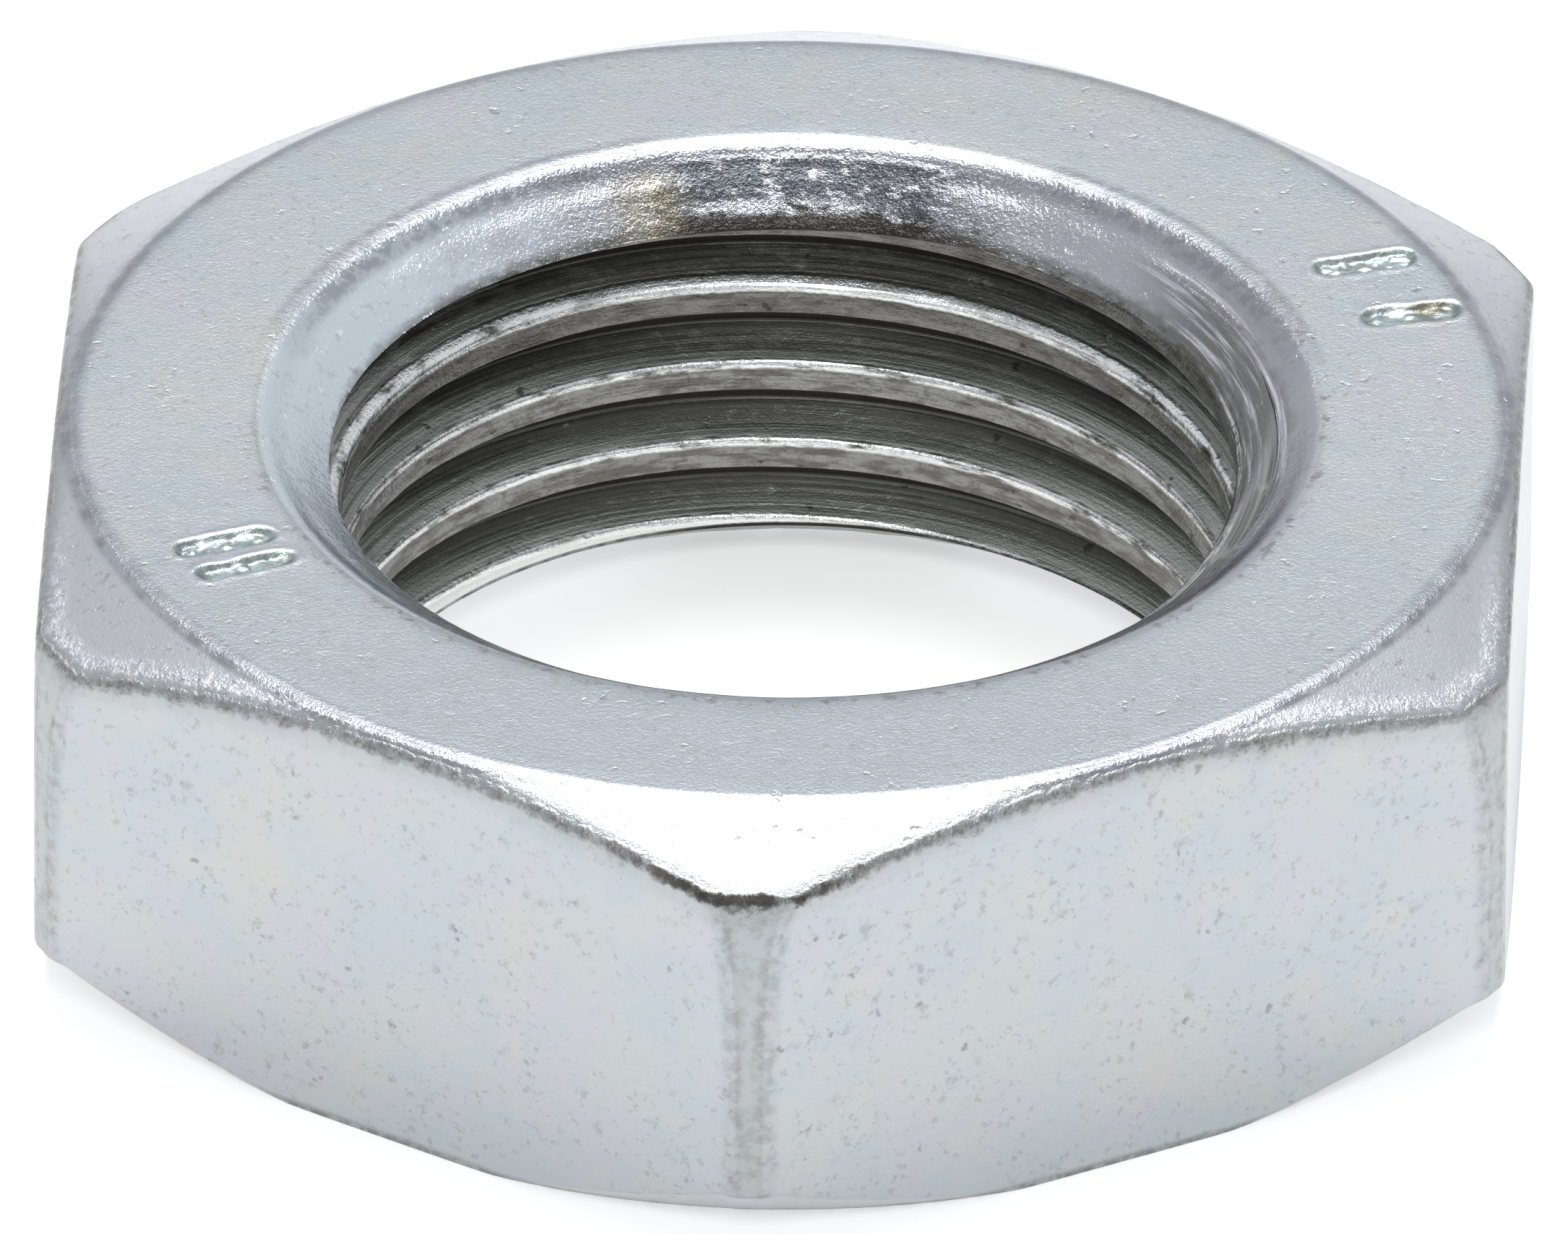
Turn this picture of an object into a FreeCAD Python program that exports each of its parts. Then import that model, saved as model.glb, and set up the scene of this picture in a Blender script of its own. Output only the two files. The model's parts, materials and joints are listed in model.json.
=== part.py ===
import FreeCAD, Part
import math
import os

# Thin hexagon nut with a metric fine thread. Millimetres. The thread axis is Z, the bearing
# face is on Z = 0, two of the six spanner flats face +X and -X, and two corners point along Y.

# Thread: M16 x 1.5, right hand, 60 degree form
thread_major_d = 16.0
thread_pitch = 1.5
thread_angle = 60.0
# how much wider the bore is than the basic minor diameter, inside the usual tolerance
crest_opening = 0.274
# height of the groove where it crosses the +X side
thread_groove_z = 1.2

# Hexagon
across_flats = 24.0
nut_height = 7.65
# how far each corner is flattened, along the line from the axis, at the top and at the base
corner_loss_top = 0.406
corner_loss_base = 0.126

# Turned chamfer around the top face: how far its rim lies inside the flats, and its slope
face_margin = 0.30
top_chamfer_angle = 26.0
face_edge_radius = 0.50
# The base is only turned at the corners: how far its rim lies outside the flats, and its slope
base_overhang = 0.165
base_chamfer_angle = 38.5

# Countersinks, the same at both ends: how far they run past the thread, and their rolled lip
countersink_margin = 0.65
countersink_angle = 110.0
countersink_lip_radius = 0.70

# Stamped strokes in the top face
stroke_length = 1.76
stroke_width = 0.58
stroke_depth = 0.08
# place across the face ring (0 at the countersink, 1 at the rim), angle around the axis,
# and direction of the stroke
strokes = [
    (0.41, 206.0, 23.0),
    (0.40, 210.5, 24.6),
    (0.62, 29.5, 17.4),
    (0.65, 20.1, 14.5),
]

# How far a cutting shape runs past the metal it cuts
overrun = 1.0


def rad(angle):
    return math.radians(angle)


def vec(x, y, z):
    return FreeCAD.Vector(x, y, z)


def polar(radius, angle, z):
    return vec(radius * math.cos(rad(angle)), radius * math.sin(rad(angle)), z)


def hexagon(inradius, first_corner, z):
    reach = inradius / math.cos(rad(30.0))
    return [polar(reach, first_corner + 60.0 * i, z) for i in range(6)]


def flat_face(points):
    return Part.Face(Part.makePolygon(points + [points[0]]))


def tapered_hexagon(low, high):
    """A solid between two hexagons, made of flat faces."""
    sides = []
    for i in range(6):
        j = (i + 1) % 6
        sides.append(flat_face([low[i], low[j], high[j], high[i]]))
    return Part.Solid(Part.Shell(sides + [flat_face(low), flat_face(high)]))


def rounded(before, corner, after, radius):
    """The arc that rounds one corner of a profile, as its three points."""
    towards_before = before.sub(corner)
    towards_before.normalize()
    towards_after = after.sub(corner)
    towards_after.normalize()
    half = 0.5 * towards_before.getAngle(towards_after)
    bisector = towards_before.add(towards_after)
    bisector.normalize()
    setback = radius / math.tan(half)
    start = corner.add(towards_before.multiply(setback))
    end = corner.add(towards_after.multiply(setback))
    middle = corner.add(bisector.multiply(radius / math.sin(half) - radius))
    return start, middle, end


def line(start, end):
    return Part.makeLine(start, end)


def arc(points):
    return Part.Arc(*points).toShape()


def revolve(edges, start_angle, sweep):
    face = Part.Face(Part.Wire(Part.__sortEdges__(edges)))
    face.rotate(vec(0, 0, 0), vec(0, 0, 1), start_angle)
    return face.revolve(vec(0, 0, 0), vec(0, 0, 1), sweep)


# Hexagonal bar, cut to length
flat_r = across_flats / 2.0
sharp_corner_r = flat_r / math.cos(rad(30.0))
body = flat_face(hexagon(flat_r, 30.0, 0.0)).extrude(vec(0, 0, nut_height))

# The corners are flattened by a second hexagon, turned 30 degrees, that narrows towards the top
corner_taper = (corner_loss_top - corner_loss_base) / nut_height
form_low_r = sharp_corner_r - corner_loss_base + corner_taper * overrun
form_high_r = sharp_corner_r - corner_loss_top - corner_taper * overrun
form_low = hexagon(form_low_r, 0.0, -overrun)
form_high = hexagon(form_high_r, 0.0, nut_height + overrun)
body = body.common(tapered_hexagon(form_low, form_high))

# Turned envelope: both chamfers, and the soft edge around the top face
outer_r = sharp_corner_r + overrun
face_rim_r = flat_r - face_margin
base_rim_r = flat_r + base_overhang
top_fall = (outer_r - face_rim_r) * math.tan(rad(top_chamfer_angle))
base_rise = (outer_r - base_rim_r) * math.tan(rad(base_chamfer_angle))
axis_base = vec(0, 0, 0)
base_rim = vec(base_rim_r, 0, 0)
outer_base = vec(outer_r, 0, base_rise)
outer_top = vec(outer_r, 0, nut_height - top_fall)
face_rim = vec(face_rim_r, 0, nut_height)
axis_top = vec(0, 0, nut_height)
soft_rim = rounded(outer_top, face_rim, axis_top, face_edge_radius)
envelope_edges = [
    line(axis_base, base_rim),
    line(base_rim, outer_base),
    line(outer_base, outer_top),
    line(outer_top, soft_rim[0]),
    arc(soft_rim),
    line(soft_rim[2], axis_top),
    line(axis_top, axis_base),
]
body = body.common(revolve(envelope_edges, 0.0, 360.0))

# Bore with both countersinks, cut as four quarters
flank_slope = math.tan(rad(thread_angle / 2.0))
form_height = thread_pitch / (2.0 * flank_slope)
major_r = thread_major_d / 2.0
minor_r = major_r - 5.0 / 8.0 * form_height + crest_opening / 2.0
mouth_r = major_r + countersink_margin
sink_slope = 1.0 / math.tan(rad(countersink_angle / 2.0))
sink_depth = (mouth_r - minor_r) * sink_slope
beyond_mouth_r = mouth_r + countersink_lip_radius
low_throat = vec(minor_r, 0, sink_depth)
low_mouth = vec(mouth_r, 0, 0)
low_face = vec(beyond_mouth_r, 0, 0)
high_throat = vec(minor_r, 0, nut_height - sink_depth)
high_mouth = vec(mouth_r, 0, nut_height)
high_face = vec(beyond_mouth_r, 0, nut_height)
low_lip = rounded(low_face, low_mouth, low_throat, countersink_lip_radius)
high_lip = rounded(high_throat, high_mouth, high_face, countersink_lip_radius)
lip_r = high_lip[2].x
low_axis = vec(0, 0, -overrun)
low_brim = vec(lip_r, 0, -overrun)
high_brim = vec(lip_r, 0, nut_height + overrun)
high_axis = vec(0, 0, nut_height + overrun)
bore_edges = [
    line(low_axis, low_brim),
    line(low_brim, low_lip[0]),
    arc(low_lip),
    line(low_lip[2], low_throat),
    line(low_throat, high_throat),
    line(high_throat, high_lip[0]),
    arc(high_lip),
    line(high_lip[2], high_brim),
    line(high_brim, high_axis),
    line(high_axis, low_axis),
]
for quarter in range(4):
    body = body.cut(revolve(bore_edges, 90.0 * quarter, 90.0))

# Helical thread groove: a flat root, and flanks that open towards the bore. Its faces are
# stretched between helices, one turn at a time, and closed by a flat cap at each end
root_half = thread_pitch / 16.0
inner_r = minor_r - thread_pitch / 12.0
inner_half = root_half + (major_r - inner_r) * flank_slope
groove_corners = [
    (inner_r, -inner_half),
    (major_r, -root_half),
    (major_r, root_half),
    (inner_r, inner_half),
]
turns_below = math.ceil((thread_groove_z + inner_half) / thread_pitch) + 1
first_z = thread_groove_z - turns_below * thread_pitch
turns = math.ceil((nut_height + inner_half - first_z) / thread_pitch) + 1
groove_faces = []
for turn in range(turns):
    helices = []
    for helix_r, height in groove_corners:
        helix = Part.makeHelix(thread_pitch, thread_pitch, helix_r)
        helix.translate(vec(0, 0, first_z + turn * thread_pitch + height))
        helices.append(helix.Edges[0])
    for i in range(4):
        groove_faces.append(Part.makeRuledSurface(helices[i], helices[(i + 1) % 4]))
for cap_z in (first_z, first_z + turns * thread_pitch):
    groove_faces.append(flat_face([vec(r, 0, cap_z + height) for r, height in groove_corners]))
groove_shell = Part.Shell(groove_faces)
groove_shell.sewShape()
groove = Part.Solid(groove_shell)
if groove.Volume < 0:
    groove.reverse()
body = body.cut(groove)

# Stamped strokes, round at both ends
straight = stroke_length - stroke_width
stamp_height = stroke_depth + overrun
for share, stroke_angle, stroke_direction in strokes:
    stroke_r = lip_r + share * (face_rim_r - lip_r)
    bar_corner = vec(-straight / 2.0, -stroke_width / 2.0, 0)
    bar = Part.makeBox(straight, stroke_width, stamp_height, bar_corner)
    one_end = Part.makeCylinder(stroke_width / 2.0, stamp_height, vec(-straight / 2.0, 0, 0))
    other_end = Part.makeCylinder(stroke_width / 2.0, stamp_height, vec(straight / 2.0, 0, 0))
    stamp = bar.fuse([one_end, other_end]).removeSplitter()
    stamp.rotate(vec(0, 0, 0), vec(0, 0, 1), stroke_direction)
    stamp.translate(polar(stroke_r, stroke_angle, nut_height - stroke_depth))
    body = body.cut(stamp)

nut = body.Solids[0]
os.makedirs("parts", exist_ok=True)
nut.exportStep("parts/hex_nut.step")
print("solids", len(body.Solids), "valid", nut.isValid(), "volume", round(nut.Volume, 2))
print("bore radius", round(minor_r, 4), "length", round(nut_height - 2.0 * sink_depth, 4))
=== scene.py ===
import json
import math

import bmesh
import bpy
from mathutils import Matrix, Vector, noise


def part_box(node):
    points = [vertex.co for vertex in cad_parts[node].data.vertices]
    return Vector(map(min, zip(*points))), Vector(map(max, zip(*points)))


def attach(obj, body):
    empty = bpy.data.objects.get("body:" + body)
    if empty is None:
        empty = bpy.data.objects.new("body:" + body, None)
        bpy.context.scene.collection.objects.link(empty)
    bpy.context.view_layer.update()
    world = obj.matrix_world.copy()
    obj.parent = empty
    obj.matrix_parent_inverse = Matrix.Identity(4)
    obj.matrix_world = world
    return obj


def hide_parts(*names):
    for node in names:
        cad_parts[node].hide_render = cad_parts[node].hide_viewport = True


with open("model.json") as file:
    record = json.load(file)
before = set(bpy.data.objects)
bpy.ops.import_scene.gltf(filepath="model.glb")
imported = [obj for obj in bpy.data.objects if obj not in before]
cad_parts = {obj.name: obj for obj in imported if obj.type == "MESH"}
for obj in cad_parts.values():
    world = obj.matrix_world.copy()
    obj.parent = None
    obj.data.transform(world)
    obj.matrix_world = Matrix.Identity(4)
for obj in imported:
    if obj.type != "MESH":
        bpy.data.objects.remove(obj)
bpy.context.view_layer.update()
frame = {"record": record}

# Sizes in millimetres, with the overall ones read from the frame
MM = 0.001
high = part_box("hex_nut")[1]
HEIGHT = high.z / MM
FLAT_R = high.x / MM
REACH_R = high.y / MM
SHARP_R = FLAT_R / math.cos(math.radians(30.0))
# Turned chamfer around the top face
RIM_R = FLAT_R - 0.30
CHAMFER = math.tan(math.radians(26.0))
# Light chamfer on the base corners
BASE_RIM_R = FLAT_R + 0.165
BASE_CHAMFER = math.tan(math.radians(38.5))
# Countersinks
MOUTH_R = 8.65
SINK = 1.0 / math.tan(math.radians(55.0))
# Thread
MAJOR_R = 8.0
MINOR_R = frame["record"]["mounts"][0]["dims"]["r_mm"]
PITCH = 1.5
GROOVE_Z = 1.2
FLANK = math.tan(math.radians(30.0))
ROOT_HALF = PITCH / 16.0
GROOVE_HALF = ROOT_HALF + (MAJOR_R - MINOR_R) * FLANK
# Wall inside the bore of the unthreaded blank
BLANK_R = MINOR_R - 0.3
# Width of the flat band on a corner: below the chamfer, and down the rest of the corner
BAND_TOP = 1.36
BAND_LOW = 0.57
# Height where the band starts to narrow, how fast it does, and its width for each mm lost
BAND_START = HEIGHT - 0.85
BAND_FADE = 0.95
BAND_SLOPE = 2.0 * math.tan(math.radians(60.0))
# Room left under the faces for the marks' raised lips and the dents, and inside the corners
SKIN = 0.012
CORNER_SKIN = 0.004
# Extra width of a corner's band at the foot, and the heights over which it grows
FOOT_FLARE = 0.35
FOOT_LOW, FOOT_HIGH = 0.2, 0.75
# How softly a corner's band meets the flats, and how near the rounded edges the wall's own curve comes
CORNER_SOFT = 0.05
EDGE_ROOM = 0.3
# Largest share of a side that a rounded corner takes
SIDE_SHARE = 0.42
# Where the tap's ends are closed, inside the base and the top face, and how near its points are welded
TAP_END = 0.2
WELD = 0.002

# Columns of faces round the nut, and in a sixth of it
COLUMNS = 300
SIXTH = COLUMNS // 6
# Stamped strokes: depth, width of their sloping sides, and how far round them the faces are refined
MARK_DEPTH = 0.085
MARK_SIDE = 0.15
MARK_REACH = 1.25
# Edges sharper than this many degrees are shaded as edges
SHARP_EDGE = 38.0
# Studio: floor radius in metres, and each lamp's name, place, width, depth and power
FLOOR_RADIUS = 4.0
FLOOR_GLOW = 0.54
LAMPS = [
    ("overhead", (0.0, 0.15, 0.40), 0.20, 0.24, 1.3),
    ("front", (0.0, -0.62, 0.62), 0.50, 0.16, 3.0),
]
# Camera: degrees, then metres, then millimetres for the lens and the sensor
AZIMUTH, ELEVATION, ROLL = 2.445, 32.082, 0.2805
DISTANCE, ASIDE, ABOVE = 0.84848, 0.0000617, 0.0000794
LENS, SENSOR = 1189.46, 36.0


def ramp(x, a, b):
    """0 below a, 1 above b, smooth between."""
    t = min(1.0, max(0.0, (x - a) / (b - a)))
    return t * t * (3.0 - 2.0 * t)


def ripple(point, scale, seed=0.0):
    """Smooth noise at a point, from -1 to 1."""
    x, y, z = point
    return noise.noise(Vector((x * scale + seed, y * scale - seed, z * scale + 2.0 * seed)))


def turn_z(angle):
    return Matrix.Rotation(math.radians(angle), 3, "Z")


def polar(r, angle, z):
    return Vector((r * math.cos(math.radians(angle)), r * math.sin(math.radians(angle)), z))


# ---------------------------------------------------------------- the blank


def corner_angle(column):
    """Angle of a column round the nut, with the columns drawn in towards the corners."""
    sector, place = divmod(column, SIXTH)
    half = SIXTH / 2.0
    share = (place if place <= half else SIXTH - place) / half
    drawn = 30.0 * (0.30 * share + 0.70 * share * share)
    return sector * 60.0 + 30.0 + (drawn if place <= half else 60.0 - drawn)


def even_angle(column):
    return column * 360.0 / COLUMNS + 30.0


def band_loss(z):
    """How far a corner is flattened at a height."""
    width = BAND_LOW + (BAND_TOP - BAND_LOW) * math.exp(min(0.0, z - BAND_START) / BAND_FADE)
    width += FOOT_FLARE * ramp(-z, -FOOT_HIGH, -FOOT_LOW)
    return width / BAND_SLOPE


def wall_r(angle, z):
    """Radius of the hexagon's wall, with its flattened and softened corners."""
    from_corner = angle % 60.0 - 30.0
    flat = FLAT_R / math.cos(math.radians(30.0 - abs(from_corner)))
    band = (SHARP_R - band_loss(z)) / math.cos(math.radians(from_corner))
    gap = max(CORNER_SOFT - abs(flat - band), 0.0) / CORNER_SOFT
    return min(flat, band) - gap * gap * CORNER_SOFT * 0.25


def corner_arc(before, here, after, radius, steps):
    """Points of the arc that rounds a corner, or the corner alone where there are no steps."""
    if not steps:
        return [here]
    back, on = before - here, after - here
    half = 0.5 * back.angle(on)
    cut = min(radius / math.tan(half), SIDE_SHARE * back.length, SIDE_SHARE * on.length)
    back.normalize()
    on.normalize()
    middle = here + (back + on).normalized() * (cut / math.cos(half))
    start, end = here + back * cut - middle, here + on * cut - middle
    return [middle + start.slerp(end, k / steps) * start.length for k in range(steps + 1)]


def rounded(corners, closed):
    """A line through corners given as point, radius, steps round it and steps to the next one."""
    count = len(corners)
    arcs = []
    for i, (here, radius, steps, _) in enumerate(corners):
        arcs.append(corner_arc(corners[i - 1][0], here, corners[(i + 1) % count][0], radius, steps))
    line = []
    for i, arc in enumerate(arcs):
        line += arc
        if closed or i + 1 < count:
            run, following = corners[i][3], arcs[(i + 1) % count][0]
            line += [arc[-1].lerp(following, k / run) for k in range(1, run)]
    return line


def section(angle):
    """The blank's section at an angle: up the outside and down the bore."""
    crease_z = HEIGHT - 0.5
    for _ in range(4):
        crease_z = HEIGHT - SKIN - (wall_r(angle, crease_z) - RIM_R) * CHAMFER
    foot_r = wall_r(angle, EDGE_ROOM)
    sunk = foot_r - BASE_RIM_R
    foot_z = 0.5 * (sunk + math.sqrt(sunk * sunk + 0.002)) * BASE_CHAMFER
    base_r = foot_r - foot_z / BASE_CHAMFER
    depth = (MOUTH_R - BLANK_R) * SINK
    top = HEIGHT - SKIN
    path = rounded([
        (Vector((BLANK_R, top - depth)), 0.0, 0, 2),
        (Vector((BLANK_R, depth)), 0.0, 0, 8),
        (Vector((MOUTH_R, 0.0)), 0.7, 6, 8),
        (Vector((base_r, 0.0)), 0.16, 4, 4),
        (Vector((wall_r(angle, foot_z), foot_z + 0.05)), 0.12, 4, 26),
        (Vector((wall_r(angle, crease_z), crease_z)), 0.20, 7, 6),
        (Vector((RIM_R, top)), 0.5, 6, 12),
        (Vector((MOUTH_R, top)), 0.7, 8, 14),
    ], closed=True)
    for place in path:
        if place.x > RIM_R and foot_z + EDGE_ROOM < place.y < crease_z - EDGE_ROOM:
            place.x = wall_r(angle, place.y)
    return path


def build_blank():
    bm = bmesh.new()
    ring = bm.verts.layers.int.new("ring")
    path = section(even_angle(0))
    verts = []
    for i, place in enumerate(path):
        v = bm.verts.new((place.x, 0.0, place.y))
        v[ring] = i
        verts.append(v)
    edges = [bm.edges.new((verts[i - 1], verts[i])) for i in range(len(verts))]
    bmesh.ops.rotate(bm, verts=verts, cent=(0, 0, 0), matrix=turn_z(even_angle(0)))
    bmesh.ops.spin(
        bm, geom=verts + edges, cent=(0, 0, 0), axis=(0, 0, 1), dvec=(0, 0, 0),
        angle=2.0 * math.pi, steps=COLUMNS, use_merge=True,
    )
    sections = [section(corner_angle(column)) for column in range(COLUMNS)]
    for v in bm.verts:
        angle = math.degrees(math.atan2(v.co.y, v.co.x))
        column = round((angle - 30.0) * COLUMNS / 360.0) % COLUMNS
        drawn = ramp(path[v[ring]].x, 9.0, RIM_R - 0.2)
        angle = even_angle(column) * (1.0 - drawn) + corner_angle(column) * drawn
        place = sections[column][v[ring]]
        v.co = polar(min(place.x, REACH_R - CORNER_SKIN), angle, place.y)
    return bm


# ---------------------------------------------------------------- the marks

# centre, direction, length and width of each stamped stroke
MARKS = [
    (polar(10.02, 206.0, 0), 23.0, 1.76, 0.56),
    (polar(10.00, 210.5, 0), 24.6, 1.76, 0.50),
    (polar(10.61, 29.5, 0), 17.4, 1.76, 0.60),
    (polar(10.70, 20.1, 0), 14.5, 1.72, 0.60),
]


def mark_inset(x, y, mark):
    """How far a point lies inside a stroke's outline."""
    centre, direction, length, width = mark
    c, s = math.cos(math.radians(direction)), math.sin(math.radians(direction))
    dx, dy = x - centre.x, y - centre.y
    along, across = dx * c + dy * s, -dx * s + dy * c
    past = max(0.0, abs(along) - 0.5 * (length - width))
    wobble = 0.05 * noise.noise(Vector((x * 2.4, y * 2.4, direction)))
    return 0.5 * width - math.hypot(past, across) + wobble


def stamp_marks(bm):
    near = []
    for f in bm.faces:
        c = f.calc_center_median()
        if c.z > HEIGHT - 0.2 and any((c - m[0]).xy.length < MARK_REACH for m in MARKS):
            near.append(f)
    edges = list({e for f in near for e in f.edges})
    bmesh.ops.subdivide_edges(bm, edges=edges, cuts=3, use_grid_fill=True)
    for v in bm.verts:
        if v.co.z < HEIGHT - 0.3 or v.co.xy.length < MOUTH_R:
            continue
        drop = 0.0
        for mark in MARKS:
            inset = mark_inset(v.co.x, v.co.y, mark)
            if inset > -0.3:
                rough = 0.035 * ripple(v.co, 5.0, 3.0) + 0.02 * ripple(v.co, 11.0, 7.0)
                drop = max(drop, (MARK_DEPTH + rough) * ramp(inset, 0.0, MARK_SIDE))
                lip = ramp(inset, -0.16, -0.03) * (1.0 - ramp(inset, -0.03, 0.04))
                drop -= (SKIN - 0.002) * lip * (0.6 + 0.8 * ripple(v.co, 4.0, 5.0))
        v.co.z = min(v.co.z - drop, HEIGHT)


# ---------------------------------------------------------------- the thread


def thread_section():
    """One pitch of the tap's section: crest, flank, root, flank, crest, as radius and height."""
    return rounded([
        (Vector((MINOR_R, -PITCH / 2)), 0.0, 0, 4),
        (Vector((MINOR_R, -GROOVE_HALF)), 0.13, 6, 10),
        (Vector((MAJOR_R, -ROOT_HALF)), 0.05, 3, 3),
        (Vector((MAJOR_R, ROOT_HALF)), 0.05, 3, 9),
        (Vector((MINOR_R, GROOVE_HALF)), 0.045, 4, 4),
        (Vector((MINOR_R, PITCH / 2)), 0.0, 0, 0),
    ], closed=False)


def build_tap():
    """The solid that the tap sweeps out of the blank, closed above and below the thread."""
    bm = bmesh.new()
    start = GROOVE_Z - 2.0 * PITCH
    turns = math.ceil((HEIGHT - start - PITCH) / PITCH) + 1
    verts = [bm.verts.new((place.x, 0.0, start + place.y)) for place in thread_section()]
    edges = [bm.edges.new((verts[i], verts[i + 1])) for i in range(len(verts) - 1)]
    bmesh.ops.spin(
        bm, geom=verts + edges, cent=(0, 0, 0), axis=(0, 0, 1), dvec=(0, 0, PITCH / COLUMNS),
        angle=2.0 * math.pi, steps=COLUMNS, use_merge=False,
    )
    turn = list(bm.verts) + list(bm.edges) + list(bm.faces)
    for i in range(1, turns):
        copy = bmesh.ops.duplicate(bm, geom=turn)["geom"]
        copied = [g for g in copy if isinstance(g, bmesh.types.BMVert)]
        bmesh.ops.translate(bm, verts=copied, vec=(0, 0, i * PITCH))
    bmesh.ops.remove_doubles(bm, verts=bm.verts, dist=WELD)
    for z, up in ((TAP_END, False), (HEIGHT - TAP_END, True)):
        geom = list(bm.verts) + list(bm.edges) + list(bm.faces)
        bmesh.ops.bisect_plane(
            bm, geom=geom, dist=1e-5, plane_co=(0, 0, z), plane_no=(0, 0, 1 if up else -1),
            clear_outer=True,
        )
    wear_thread(bm)
    rims = [e for e in bm.edges if e.is_boundary]
    bmesh.ops.holes_fill(bm, edges=rims, sides=0)
    bmesh.ops.recalc_face_normals(bm, faces=bm.faces)
    return bm


def wear_thread(bm):
    """Tool marks along the flanks, and uneven crests."""
    for v in bm.verts:
        x, y, z = v.co
        r = math.hypot(x, y)
        angle = math.atan2(y, x)
        phase = (z - GROOVE_Z) / PITCH - angle / (2.0 * math.pi)
        turn = math.floor(phase + 0.5)
        place = phase - turn
        along = (angle + 2.0 * math.pi * turn) * r
        streak = noise.noise(Vector((place * 46.0, along * 0.10, 1.7)))
        crest = ramp(abs(place), 0.26, 0.33)
        nick = noise.noise(Vector((place * 5.0, along * 1.3, 9.1)))
        chip = noise.noise(Vector((place * 16.0, along * 3.7, 4.4)))
        grow = 0.007 * streak * (1.0 - crest) + crest * (0.012 * nick + 0.010 * chip)
        grow += 0.012 * noise.noise(Vector((x * 0.4, y * 0.4, z * 0.6)))
        v.co.x += x / r * grow
        v.co.y += y / r * grow


# ---------------------------------------------------------------- wear on the outside


def wear_outside(bm):
    """Shallow dents and uneven edges, always towards the inside."""
    bm.normal_update()
    moves = []
    for v in bm.verts:
        x, y, z = v.co
        r = math.hypot(x, y)
        if r < MAJOR_R + 0.1:
            moves.append(None)
            continue
        chamfer_gap = RIM_R + (HEIGHT - z) / CHAMFER - r
        wall_gap = FLAT_R - max(
            abs(x * math.cos(math.radians(a)) + y * math.sin(math.radians(a))) for a in (0, 60, 120)
        )
        edge = 1.0 - ramp(max(chamfer_gap * 0.44, wall_gap), 0.02, 0.22)
        on_top = z > HEIGHT - 0.2 and r < RIM_R - 0.2
        on_base = z < 0.02
        dent = 0.006 + 0.006 * ripple(v.co, 0.55, 11.0) + 0.004 * ripple(v.co, 1.9, 5.0)
        dent += edge * (0.012 + 0.012 * ripple(v.co, 1.6, 2.0) + 0.008 * ripple(v.co, 4.5, 8.0))
        sink = 1.0 - ramp(r, MOUTH_R + 0.2, MOUTH_R + 0.5)
        dent += sink * (0.012 + 0.014 * ripple(v.co, 1.3, 4.0) + 0.008 * ripple(v.co, 4.0, 6.0))
        if on_top:
            dent = 0.4 * dent
        if on_base:
            dent = 0.0 if r < 11.0 else 0.3 * dent
        moves.append(v.normal * -max(0.0, dent))
    for v, move in zip(bm.verts, moves):
        if move is not None:
            v.co += move
            v.co.z = max(v.co.z, 0.0)


# ---------------------------------------------------------------- putting the nut together


def to_object(bm, name):
    mesh = bpy.data.meshes.new(name)
    bm.to_mesh(mesh)
    bm.free()
    obj = bpy.data.objects.new(name, mesh)
    bpy.context.scene.collection.objects.link(obj)
    return obj


def build_nut():
    blank_bm = build_blank()
    stamp_marks(blank_bm)
    bmesh.ops.recalc_face_normals(blank_bm, faces=blank_bm.faces)
    wear_outside(blank_bm)
    blank = to_object(blank_bm, "blank")
    tap = to_object(build_tap(), "tap")
    cut = blank.modifiers.new("thread", "BOOLEAN")
    cut.operation = "DIFFERENCE"
    cut.solver = "MANIFOLD"
    cut.object = tap
    graph = bpy.context.evaluated_depsgraph_get()
    mesh = bpy.data.meshes.new_from_object(blank.evaluated_get(graph))
    for obj in (blank, tap):
        old = obj.data
        bpy.data.objects.remove(obj)
        bpy.data.meshes.remove(old)
    bm = bmesh.new()
    bm.from_mesh(mesh)
    bpy.data.meshes.remove(mesh)
    wide = [f for f in bm.faces if len(f.verts) > 4]
    bmesh.ops.triangulate(bm, faces=wide)
    bmesh.ops.scale(bm, vec=(MM, MM, MM), verts=bm.verts)
    nut = to_object(bm, "hex_nut_body")
    nut.data.shade_smooth()
    nut.data.set_sharp_from_angle(angle=math.radians(SHARP_EDGE))
    return nut


nut = build_nut()
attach(nut, "root")
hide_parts("hex_nut")


# ---------------------------------------------------------------- finishes


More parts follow.
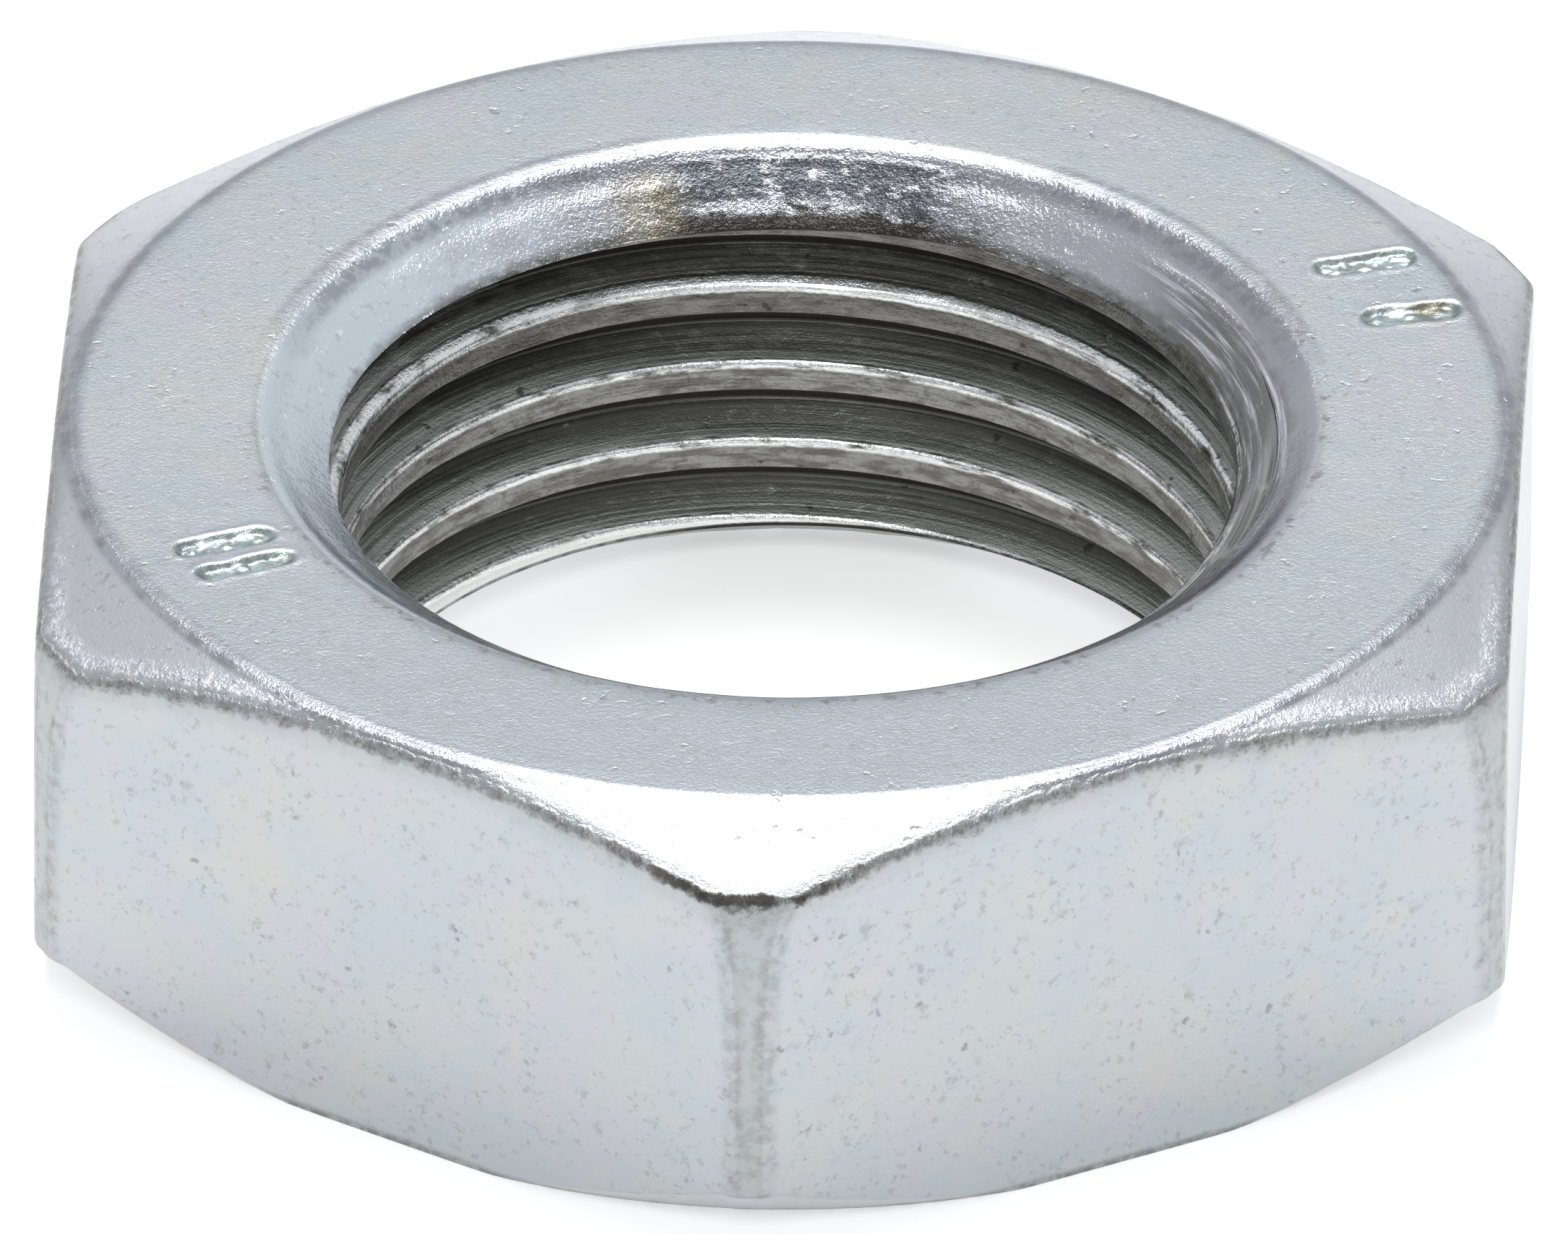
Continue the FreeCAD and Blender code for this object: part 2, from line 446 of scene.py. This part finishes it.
class Wire:
    """A shader socket that sums can be written with."""

    def __init__(self, finish, socket):
        self.finish, self.socket = finish, socket

    def sum(self, operation, *others, swap=False):
        values = [self, *others]
        if swap:
            values.reverse()
        return self.finish.node("ShaderNodeMath", {"operation": operation}, dict(enumerate(values)))

    def __add__(self, other): return self.sum("ADD", other)
    def __radd__(self, other): return self.sum("ADD", other)
    def __sub__(self, other): return self.sum("SUBTRACT", other)
    def __rsub__(self, other): return self.sum("SUBTRACT", other, swap=True)
    def __mul__(self, other): return self.sum("MULTIPLY", other)
    def __rmul__(self, other): return self.sum("MULTIPLY", other)
    def __truediv__(self, other): return self.sum("DIVIDE", other)
    def __pow__(self, other): return self.sum("POWER", other)
    def __abs__(self): return self.sum("ABSOLUTE")
    def least(self, other): return self.sum("MINIMUM", other)
    def most(self, other): return self.sum("MAXIMUM", other)

    def ramp(self, a, b):
        """0 at a, 1 at b, smooth between."""
        return self.finish.node(
            "ShaderNodeMapRange", {"interpolation_type": "SMOOTHSTEP"},
            {"Value": self, "From Min": a, "From Max": b, "To Min": 0.0, "To Max": 1.0},
        )


class Finish:
    """The node tree of a material or a world, built a node at a time."""

    def __init__(self, owner):
        self.owner = owner
        owner.use_nodes = True
        self.tree = owner.node_tree
        self.tree.nodes.clear()

    def node(self, kind, settings=None, inputs=None, output=0):
        made = self.tree.nodes.new(kind)
        for key, value in (settings or {}).items():
            setattr(made, key, value)
        for key, value in (inputs or {}).items():
            if isinstance(value, Wire):
                self.tree.links.new(value.socket, made.inputs[key])
            else:
                made.inputs[key].default_value = value
        return Wire(self, made.outputs[output]) if made.outputs else None

    def blend(self, share, a, b):
        """Colour a where share is 0, colour b where it is 1."""
        made = self.tree.nodes.new("ShaderNodeMix")
        made.data_type = "RGBA"
        for socket, value in ((made.inputs[0], share), (made.inputs[6], a), (made.inputs[7], b)):
            if isinstance(value, Wire):
                self.tree.links.new(value.socket, socket)
            else:
                socket.default_value = value
        return Wire(self, made.outputs[2])

    def vector(self, operation, a, b=(0, 0, 0), output=0, scale=None):
        inputs = {0: a, 1: b}
        if scale is not None:
            inputs = {0: a, "Scale": scale}
        return self.node("ShaderNodeVectorMath", {"operation": operation}, inputs, output)

    def grain(self, place, scale, detail=2.0, rough=0.5, output=0):
        return self.node(
            "ShaderNodeTexNoise", {"noise_dimensions": "3D"},
            {"Vector": place, "Scale": scale, "Detail": detail, "Roughness": rough}, output,
        )

    def split(self, place):
        made = self.tree.nodes.new("ShaderNodeSeparateXYZ")
        self.tree.links.new(place.socket, made.inputs[0])
        return [Wire(self, made.outputs[i]) for i in range(3)]

    def join(self, x, y, z):
        return self.node("ShaderNodeCombineXYZ", {}, {0: x, 1: y, 2: z})


ZINC = (0.462, 0.482, 0.488, 1)
ZINC_BLUE = (0.437, 0.476, 0.505, 1)
ZINC_LILAC = (0.472, 0.468, 0.512, 1)
ZINC_WARM = (0.486, 0.486, 0.464, 1)
# painted shade for the front of the top face
FACE_FRONT_SHADE = (0.395, 0.418, 0.447, 1)
CHAMFER_GREY = (0.60, 0.61, 0.64, 1)
GREY_DUST = (0.30, 0.31, 0.305, 1)
WARM_DUST = (0.27, 0.26, 0.235, 1)
DARK_SPECK = (0.15, 0.15, 0.15, 1)
BAND_GREY = (0.33, 0.35, 0.345, 1)
# grey of the painted shade on the top face's rim
RIM_SHADE_GREY = (0.25, 0.255, 0.285, 1)
# dark colour of grime, also used for painted shade on the mouth's lip
GRIME_AND_SHADE = (0.125, 0.118, 0.108, 1)
# bright colour of painted glints
PAINTED_SPARKLE = (0.92, 0.93, 0.95, 1)
FLANK_DARK = (0.17, 0.172, 0.158, 1)
FLANK_PALE = (0.42, 0.43, 0.405, 1)
# blue tone of the flanks, also their painted sheen lower down the bore
FLANK_BLUE_AND_SHEEN = (0.64, 0.66, 0.62, 1)
# black of painted shade in the thread and the countersink, and of pits
SHADE_AND_PIT_BLACK = (0.03, 0.027, 0.022, 1)
CREST = (0.29, 0.29, 0.275, 1)
LAST_CREST = (0.86, 0.88, 0.84, 1)
# colour of the painted highlight on the crests
CREST_EDGE_HIGHLIGHT = (0.92, 0.93, 0.93, 1)
CREST_STAIN = (0.10, 0.094, 0.079, 1)
SOOT = (0.035, 0.032, 0.03, 1)
# grey of the painted shade on the mouth's lip
LIP_SHADE_GREY = (0.22, 0.225, 0.25, 1)
SINK_LILAC = (0.46, 0.46, 0.50, 1)
# pale blue of the painted reflection on the countersink's left side
SINK_SHEEN_BLUE = (0.74, 0.80, 0.86, 1)
# dark of the painted reflection at the back of the countersink
SINK_REFLECTION_DARK = (0.062, 0.067, 0.078, 1)
STAIN = (0.36, 0.32, 0.20, 1)
MARK_PALE = (0.38, 0.45, 0.44, 1)
MARK_DARK = (0.20, 0.225, 0.22, 1)
MARK_STAIN = (0.13, 0.112, 0.078, 1)


def zinc_plating():
    """Bright zinc on worn steel: pale mottled faces, grimy edges, a dark oily thread, with painted shade,
    highlights and reflections on the rims, the thread and the countersink.
    """
    f = Finish(bpy.data.materials.new("zinc_plated_steel"))
    place = f.vector("SCALE", f.node("ShaderNodeTexCoord", output=3), scale=1.0 / MM)
    x, y, z = f.split(place)
    r = (x * x + y * y) ** 0.5
    below = HEIGHT - z
    sin60, cos60 = math.sin(math.radians(60.0)), 0.5

    # distances from the nut's surfaces
    wall_gap = FLAT_R - abs(x).most(abs(x * cos60 + y * sin60)).most(abs(x * cos60 - y * sin60))
    cone_gap = (RIM_R + below / CHAMFER - r) * math.sin(math.radians(26.0))
    corner_reach = abs(y).most(abs(x * sin60 + y * cos60)).most(abs(x * sin60 - y * cos60))
    flare = f.node("ShaderNodeMath", {"operation": "EXPONENT"}, {0: (z - BAND_START).least(0.0) / BAND_FADE})
    band_gap = SHARP_R - corner_reach - (BAND_LOW + (BAND_TOP - BAND_LOW) * flare) / BAND_SLOPE
    coarse = f.grain(place, 1.3, 3.0, 0.6)
    medium = f.grain(place, 4.2, 4.0, 0.65)
    fine = f.grain(place, 13.0, 3.0, 0.6)
    shift = (coarse - 0.5) * 0.22 + (medium - 0.5) * 0.34
    outside = r.ramp(MAJOR_R + 0.9, MAJOR_R + 1.0)

    # wear and grime along the edges, and the masks of painted shade on the top rim and the mouth's lip
    wall_off, cone_off, band_off = wall_gap.most(0.0), cone_gap.most(0.0), band_gap.most(0.0)
    outer_off = wall_off.least(band_off)
    crease = 1.0 - (outer_off * 1.5 + cone_off + shift * 1.1).ramp(0.08, 0.23)
    crease = crease * outside * z.ramp(2.0, 3.0)
    halo = (1.0 - (outer_off * 1.2 + cone_off + shift * 1.6).ramp(0.15, 0.55)) * outside * z.ramp(2.0, 3.0)
    on_chamfer = outer_off.ramp(0.08, 0.25) * (1.0 - cone_off.ramp(0.05, 0.15)) * r.ramp(RIM_R, RIM_R + 0.2)
    on_corner = (1.0 - band_off.ramp(0.04, 0.09)) * wall_off.ramp(0.03, 0.07)
    band_side = 1.0 - (band_off + wall_off + (coarse - 0.5) * 0.06).ramp(0.04, 0.15)
    band_side = band_side * outside * (1.0 - on_chamfer)
    corner = on_corner * outside * (1.0 - crease)
    foot = (1.0 - (z + shift * 0.45).ramp(0.06, 0.19)) * r.ramp(11.5, 11.8)
    rim = (1.0 - abs(r - (RIM_R - 0.10) + shift * 0.16).ramp(0.03, 0.17)) * (1.0 - below.ramp(0.05, 0.2))
    rim_light = (1.0 - abs(r - (RIM_R + 0.12) + shift * 0.12).ramp(0.02, 0.12)) * (1.0 - below.ramp(0.1, 0.3))
    lip = (1.0 - abs(r - (MOUTH_R + 0.20) + shift * 1.3).ramp(0.04, 0.20)) * coarse.ramp(0.44, 0.54)
    lip = lip * (1.0 - below.ramp(0.03, 0.15))

    # specks: pits of the plating, gathered in patches
    cells = f.node(
        "ShaderNodeTexVoronoi", {"feature": "F1"},
        {"Vector": f.vector("ADD", place, f.vector("SCALE", f.node(
            "ShaderNodeTexNoise", {}, {"Vector": place, "Scale": 5.0, "Detail": 2.0}, 1), scale=0.35)),
         "Scale": 1.9, "Randomness": 1.0},
    )
    gather = f.grain(place, 0.75, 3.0, 0.6)
    specks = (1.0 - cells.ramp(0.06, 0.17)) * gather.ramp(0.44, 0.60) * medium.ramp(0.36, 0.5)
    dust = medium.ramp(0.56, 0.70) * gather.ramp(0.40, 0.62)

    # plating colour, with a faint play of hues, then dirt, painted shade and painted glints
    hue_a = f.grain(place, 0.55, 2.0, 0.5)
    hue_b = f.grain(f.vector("ADD", place, (17.0, 5.0, 9.0)), 0.8, 2.0, 0.5)
    hue_c = f.grain(f.vector("ADD", place, (3.0, 31.0, 4.0)), 0.65, 3.0, 0.5)
    colour = f.blend(hue_a.ramp(0.42, 0.62), ZINC, ZINC_BLUE)
    colour = f.blend(hue_b.ramp(0.50, 0.68) * 0.75, colour, ZINC_LILAC)
    colour = f.blend(hue_c.ramp(0.55, 0.72) * 0.7, colour, ZINC_WARM)
    colour = f.blend(on_chamfer * 0.8, colour, CHAMFER_GREY)
    on_face = (1.0 - below.ramp(0.05, 0.15)) * (1.0 - r.ramp(RIM_R, RIM_R + 0.15))
    # painted shade: the top face turns darker and more lilac towards the front
    colour = f.blend(on_face * (y * -1.0 + coarse * 3.0).ramp(0.0, 12.0), colour, FACE_FRONT_SHADE)
    colour = f.blend(dust * 0.50, colour, GREY_DUST)
    near_edge = r.ramp(RIM_R - 1.3, RIM_R).most(1.0 - r.ramp(MOUTH_R + 0.2, MOUTH_R + 1.2)) * on_face
    colour = f.blend(near_edge * medium.ramp(0.52, 0.64) * gather.ramp(0.42, 0.58) * 0.45, colour, WARM_DUST)
    pepper = f.grain(place, 6.0, 3.0, 0.75)
    colour = f.blend(pepper.ramp(0.58, 0.66) * gather.ramp(0.34, 0.52) * 0.55, colour, GREY_DUST)
    colour = f.blend(specks * 0.55, colour, DARK_SPECK)
    colour = f.blend(corner * (0.55 + 0.40 * medium.ramp(0.45, 0.62)), colour, BAND_GREY)
    colour = f.blend(band_side * (0.12 + medium.ramp(0.42, 0.62) * 0.22), colour, GRIME_AND_SHADE)
    colour = f.blend(halo * 0.30, colour, GREY_DUST)
    heavy = (1.0 - abs(x).ramp(0.7, 2.4)) * 0.45
    colour = f.blend(crease * (0.46 + 0.40 * fine.ramp(0.42, 0.60) + heavy), colour, GRIME_AND_SHADE)
    # darker along the foot of the walls
    colour = f.blend(foot * (0.30 + 0.4 * medium.ramp(0.4, 0.6)), colour, GRIME_AND_SHADE)
    beside = 1.0 - (1.0 - abs(x).ramp(3.2, 5.0)) * (1.0 - y.ramp(-9.0, -8.0))
    # painted shade: a dark line along the rolled rim of the top face, left out at the front and fainter at
    # the back
    roll = (1.0 - abs(r - (RIM_R + 0.06) + shift * 0.1).ramp(0.10, 0.26)) * (1.0 - below.ramp(0.1, 0.25))
    roll = roll * beside * (0.30 + 0.45 * coarse.ramp(0.42, 0.60)) * (1.0 - y.ramp(4.0, 9.0) * 0.6)
    colour = f.blend(roll, colour, RIM_SHADE_GREY)
    # painted shade: a faint dark ring on the top face just inside the rim
    colour = f.blend(rim * (0.12 + 0.15 * medium.ramp(0.4, 0.6)), colour, RIM_SHADE_GREY)
    # painted glints: bright specks on the chamfers and creases, towards the front only
    edge_sparkle = on_chamfer.most(crease * 0.25) * (1.0 - (outer_off + shift * 0.8).ramp(0.22, 0.60))
    edge_sparkle = edge_sparkle * beside * (y * -1.0).ramp(2.0, 6.0)
    glitter = f.grain(place, 7.0, 3.0, 0.7)
    colour = f.blend(edge_sparkle * glitter.ramp(0.50, 0.57) * 0.5, colour, PAINTED_SPARKLE)
    colour = f.blend(crease * heavy * 1.8, colour, SOOT)
    # partly dirt, partly painted shade: a dark ragged line round the mouth's outer edge, heaviest at the
    # front and on the right
    lip = lip * medium.ramp(0.48, 0.60) * (0.15 + 0.40 * (y * -1.0).ramp(0.0, 6.0).most(x.ramp(6.0, 8.0)))
    colour = f.blend(lip, colour, GRIME_AND_SHADE)

    # thread
    turned = f.node("ShaderNodeMath", {"operation": "ARCTAN2"}, {0: y, 1: x}) / (2.0 * math.pi)
    phase = (z - GROOVE_Z) / PITCH - turned + 0.5
    turn = f.node("ShaderNodeMath", {"operation": "FLOOR"}, {0: phase})
    across = phase - turn - 0.5
    along = (turned + turn) * (2.0 * math.pi * MAJOR_R)
    in_thread = 1.0 - r.ramp(MAJOR_R + 0.02, MAJOR_R + 0.08)
    sink_line = MINOR_R + (below.least(z) * -1.0 + (MOUTH_R - MINOR_R) * SINK) / SINK
    in_sink = (r - sink_line).ramp(-0.08, -0.03) * (1.0 - (r - sink_line).ramp(0.05, 0.12))
    bored = in_thread * (1.0 - in_sink)
    ribbon = f.join(across * 34.0, along * 0.12, turn * 7.0)
    streak = f.grain(ribbon, 1.0, 4.0, 0.6)
    blotch = f.grain(f.join(across * 6.0, along * 0.9, turn * 3.0), 1.0, 4.0, 0.65)
    lift = (1.0 - below.ramp(1.7, 3.0)) * 0.06
    edge = (medium - 0.5) * 0.03
    on_crest = (across + edge).ramp(0.295, 0.32).most((lift - across + edge).ramp(0.295, 0.32))
    flank = f.blend(streak.ramp(0.35, 0.65), FLANK_DARK, FLANK_PALE)
    flank = f.blend(blotch.ramp(0.52, 0.66) * 0.5, flank, FLANK_BLUE_AND_SHEEN)
    # painted sheen: the flanks turn paler and bluer lower down the bore
    flank = f.blend(below.ramp(1.6, 6.0) * 0.95 * streak.ramp(0.25, 0.55), flank, FLANK_BLUE_AND_SHEEN)
    # partly dirt, partly painted shadow: a black line in each root, under the crest above
    flank = f.blend(1.0 - abs(across + (streak - 0.5) * 0.05).ramp(0.02, 0.12), flank, SHADE_AND_PIT_BLACK)
    # painted shade: the downward flank under each crest painted black
    flank = f.blend(across.ramp(0.04, 0.12), flank, SHADE_AND_PIT_BLACK)
    crest = f.blend(blotch.ramp(0.42, 0.60) * 0.75, CREST, CREST_STAIN)
    crest = f.blend(medium.ramp(0.54, 0.66) * 0.6, crest, GRIME_AND_SHADE)
    ragged = across + (medium - 0.5) * 0.05 + (blotch - 0.5) * 0.06
    # painted highlight: a bright line along the upper edge of each crest, widest on the first crest in the
    # middle
    crest_edge_highlight = ragged.ramp(-0.43, -0.385) * (1.0 - (ragged - lift).ramp(-0.315, -0.29))
    crest = f.blend(1.0 - z.ramp(0.9, 1.7), crest, LAST_CREST)
    first = 1.0 - below.ramp(2.5, 3.1)
    crest = f.blend(first * 0.4, crest, CREST_STAIN)
    crest_edge_highlight = crest_edge_highlight * blotch.ramp(0.66, 0.48).most(first * (1.0 - abs(x).ramp(2.5, 5.0)))
    crest = f.blend(crest_edge_highlight, crest, CREST_EDGE_HIGHLIGHT)
    thread = f.blend(on_crest, flank, crest)
    thread_dots = (1.0 - cells.ramp(0.08, 0.2)) * blotch.ramp(0.45, 0.55)
    thread = f.blend(thread_dots * 0.7, thread, SHADE_AND_PIT_BLACK)
    colour = f.blend(bored, colour, thread)

    # countersink
    # painted reflection: the countersink turns paler and bluer towards its left side
    sink_tone = f.blend((x * -1.0 + coarse * 4.0).ramp(4.6, 8.8), SINK_LILAC, SINK_SHEEN_BLUE)
    round_it = f.join(turned * (2.0 * math.pi * MAJOR_R), below * 2.6, 0.0)
    dents = f.grain(round_it, 2.3, 5.0, 0.68)
    aside = x + coarse * 3.0 - 1.5
    # painted reflection: a dark mottled patch at the back of the countersink, broken by a painted bright
    # streak where it is left out
    painted_reflection = y.ramp(6.4, 7.3) * aside.ramp(-3.2, -1.9) * (1.0 - aside.ramp(1.6, 3.6))
    painted_reflection = painted_reflection * below.ramp(0.16, 0.26)
    sink_glint_gap = 1.0 - abs(below - 0.78 + shift * 0.3).ramp(0.06, 0.2)
    sink_glint_gap = sink_glint_gap * (1.0 - abs(x - 0.1 + coarse).ramp(0.9, 2.0)) * dents.ramp(0.38, 0.47)
    sink_tone = f.blend(painted_reflection * dents.ramp(0.66, 0.52) * (1.0 - sink_glint_gap), sink_tone, SINK_REFLECTION_DARK)
    sink_tone = f.blend(medium.ramp(0.56, 0.68) * 0.35, sink_tone, GREY_DUST)
    colour = f.blend(in_sink * 0.9, colour, sink_tone)
    throat = (1.0 - (r + (dents - 0.5) * 0.5).ramp(MINOR_R + 0.06, MINOR_R + 0.26)) * in_sink
    colour = f.blend(throat * (0.55 + 0.4 * dents.ramp(0.42, 0.6)), colour, CREST_STAIN)
    # painted shade: black in the throat at the back of the countersink
    back_throat_shade = (1.0 - (r + (dents - 0.5) * 0.6).ramp(MINOR_R + 0.18, MINOR_R + 0.36)) * in_sink
    back_throat_shade = back_throat_shade * painted_reflection.most(y.ramp(6.4, 7.0) * (1.0 - abs(x + 0.4).ramp(0.8, 1.6)))
    colour = f.blend(back_throat_shade * 0.85, colour, SHADE_AND_PIT_BLACK)
    stain_gap = f.vector("DISTANCE", place, (-2.75, 7.45, HEIGHT - 0.8), output=1)
    stain = (1.0 - (stain_gap + shift * 2.0).ramp(0.35, 0.95)) * in_sink
    colour = f.blend(stain * 0.45, colour, STAIN)
    worn = f.grain(f.join(r * 9.0, along * 0.25, 4.0), 1.0, 4.0, 0.65)
    run_out = in_sink * x.ramp(5.0, 6.8) * (y + coarse * 3.0).ramp(-2.0, 0.5)
    run_out = run_out * (1.0 - (r + coarse * 0.6).ramp(MINOR_R + 0.9, MINOR_R + 1.4))
    colour = f.blend(run_out * worn.ramp(0.42, 0.52) * 0.7, colour, CREST_STAIN)
    # painted glints along the run-out
    colour = f.blend(run_out * worn.ramp(0.44, 0.36) * 0.6, colour, PAINTED_SPARKLE)

    # painted shade: the mouth's rounded lip dimmed at the back away from the middle, shortening its highlight
    lip_side_shade = (1.0 - abs(r - MOUTH_R).ramp(0.24, 0.42)) * (1.0 - below.ramp(0.25, 0.45))
    lip_side_shade = lip_side_shade * abs(x - 0.6).ramp(2.0, 4.4) * y.ramp(1.0, 4.0)
    colour = f.blend(lip_side_shade * (0.35 + 0.30 * medium.ramp(0.58, 0.44)), colour, LIP_SHADE_GREY)

    # stamped marks keep a paler, greener plating
    marks = None
    for centre, direction, length, width in MARKS:
        c, s = math.cos(math.radians(direction)), math.sin(math.radians(direction))
        dx, dy = x - centre.x, y - centre.y
        past = (abs(dx * c + dy * s) - 0.5 * (length - width)).most(0.0)
        side = dy * c - dx * s
        inset = 0.5 * width - (past * past + side * side) ** 0.5
        inside = inset.ramp(-0.02, 0.05)
        marks = inside if marks is None else marks.most(inside)
    marks = marks * (1.0 - below.ramp(0.2, 0.3))
    colour = f.blend(marks * 0.8, colour, f.blend(medium.ramp(0.4, 0.62), MARK_PALE, MARK_DARK))

    spot = polar(11.05, 21.6, HEIGHT)
    spot_gap = f.vector("DISTANCE", place, spot, output=1)
    colour = f.blend(marks * (1.0 - (spot_gap + shift).ramp(0.25, 0.5)) * 0.8, colour, MARK_STAIN)

    # relief
    ridges = f.grain(place, 26.0, 2.0, 0.5)
    relief = fine * 0.5 + ridges * 0.25 - specks * 0.8 - dust * 0.2
    relief = relief + (crease.most(rim_light * beside * 0.5) + band_side * 0.08) * (medium * 2.2 + fine * 1.2)
    relief = relief + edge_sparkle * glitter * 3.0 + run_out * worn * 3.0
    relief = relief + in_sink * (medium * 1.2 + fine * 0.6) + painted_reflection * in_sink * dents * 2.5
    relief = relief + bored * (streak * 1.0 + on_crest * (medium * 1.4 + fine * 0.6))
    normal = f.node("ShaderNodeBump", {}, {"Strength": 0.55, "Distance": 0.02 * MM, "Height": relief})
    rough = 0.33 + 0.08 * (medium - 0.5) + 0.10 * dust + 0.12 * crease - 0.05 * rim_light
    rough = rough - 0.10 * in_sink + bored * (on_crest * -0.08 + 0.02)
    metal = 1.0 - 0.45 * crease * fine.ramp(0.4, 0.58) - 0.35 * specks
    shade = f.node(
        "ShaderNodeBsdfPrincipled", {},
        {"Base Color": colour, "Metallic": metal, "Roughness": rough, "Normal": normal},
    )
    f.node("ShaderNodeOutputMaterial", {}, {"Surface": shade})
    return f.owner


nut.data.materials.clear()
nut.data.materials.append(zinc_plating())


# ---------------------------------------------------------------- studio


def build_floor():
    bm = bmesh.new()
    bmesh.ops.create_circle(bm, cap_ends=True, segments=96, radius=FLOOR_RADIUS)
    floor = to_object(bm, "floor")
    f = Finish(bpy.data.materials.new("pale_floor"))
    cloud = f.grain(f.node("ShaderNodeTexCoord", output=3), 2.0)
    colour = f.blend(cloud, (0.60, 0.60, 0.60, 1), (0.62, 0.62, 0.62, 1))
    shade = f.node(
        "ShaderNodeBsdfPrincipled", {},
        {"Base Color": colour, "Roughness": 0.9, "Emission Color": (1, 1, 1, 1),
         "Emission Strength": FLOOR_GLOW},
    )
    f.node("ShaderNodeOutputMaterial", {}, {"Surface": shade})
    floor.data.materials.append(f.owner)


def build_world():
    """A pale studio, dimmer high up in front, where the light tent is open."""
    f = Finish(bpy.data.worlds.new("studio"))
    bpy.context.scene.world = f.owner
    toward = f.vector("DOT_PRODUCT", f.node("ShaderNodeTexCoord", output=0), (0.0, -0.50, 0.866), output=1)
    glow = f.blend(toward.ramp(0.72, 0.95), (0.71, 0.735, 0.76, 1), (0.26, 0.27, 0.28, 1))
    back = f.node("ShaderNodeBackground", {}, {"Color": glow, "Strength": 1.0})
    f.node("ShaderNodeOutputWorld", {}, {"Surface": back})


def soft_light(name, place, width, depth, power):
    """A soft lamp aimed at the nut."""
    light = bpy.data.lights.new(name, "AREA")
    light.shape = "RECTANGLE"
    light.size, light.size_y = width, depth
    light.energy = power
    obj = bpy.data.objects.new(name, light)
    obj.location = place
    obj.rotation_mode = "QUATERNION"
    obj.rotation_quaternion = (-Vector(place)).to_track_quat("-Z", "Y")
    bpy.context.scene.collection.objects.link(obj)


def build_camera():
    azimuth, elevation, roll = math.radians(AZIMUTH), math.radians(ELEVATION), math.radians(ROLL)
    level = math.cos(elevation)
    forward = Vector((-math.sin(azimuth) * level, math.cos(azimuth) * level, -math.sin(elevation)))
    side = forward.cross(Vector((0, 0, 1))).normalized()
    rise = side.cross(forward)
    right = side * math.cos(roll) + rise * math.sin(roll)
    up = rise * math.cos(roll) - side * math.sin(roll)
    target = Vector((0, 0, HEIGHT * MM / 2.0))
    data = bpy.data.cameras.new("camera")
    data.sensor_width = SENSOR
    data.lens = LENS
    data.clip_start, data.clip_end = 0.05, 20.0
    camera = bpy.data.objects.new("camera", data)
    camera.rotation_mode = "QUATERNION"
    camera.rotation_quaternion = Matrix((right, up, -forward)).transposed().to_quaternion()
    camera.location = target - forward * DISTANCE - right * ASIDE - up * ABOVE
    bpy.context.scene.collection.objects.link(camera)
    bpy.context.scene.camera = camera


build_floor()
build_world()
for lamp in LAMPS:
    soft_light(*lamp)
build_camera()
bpy.context.scene.view_settings.view_transform = "Standard"
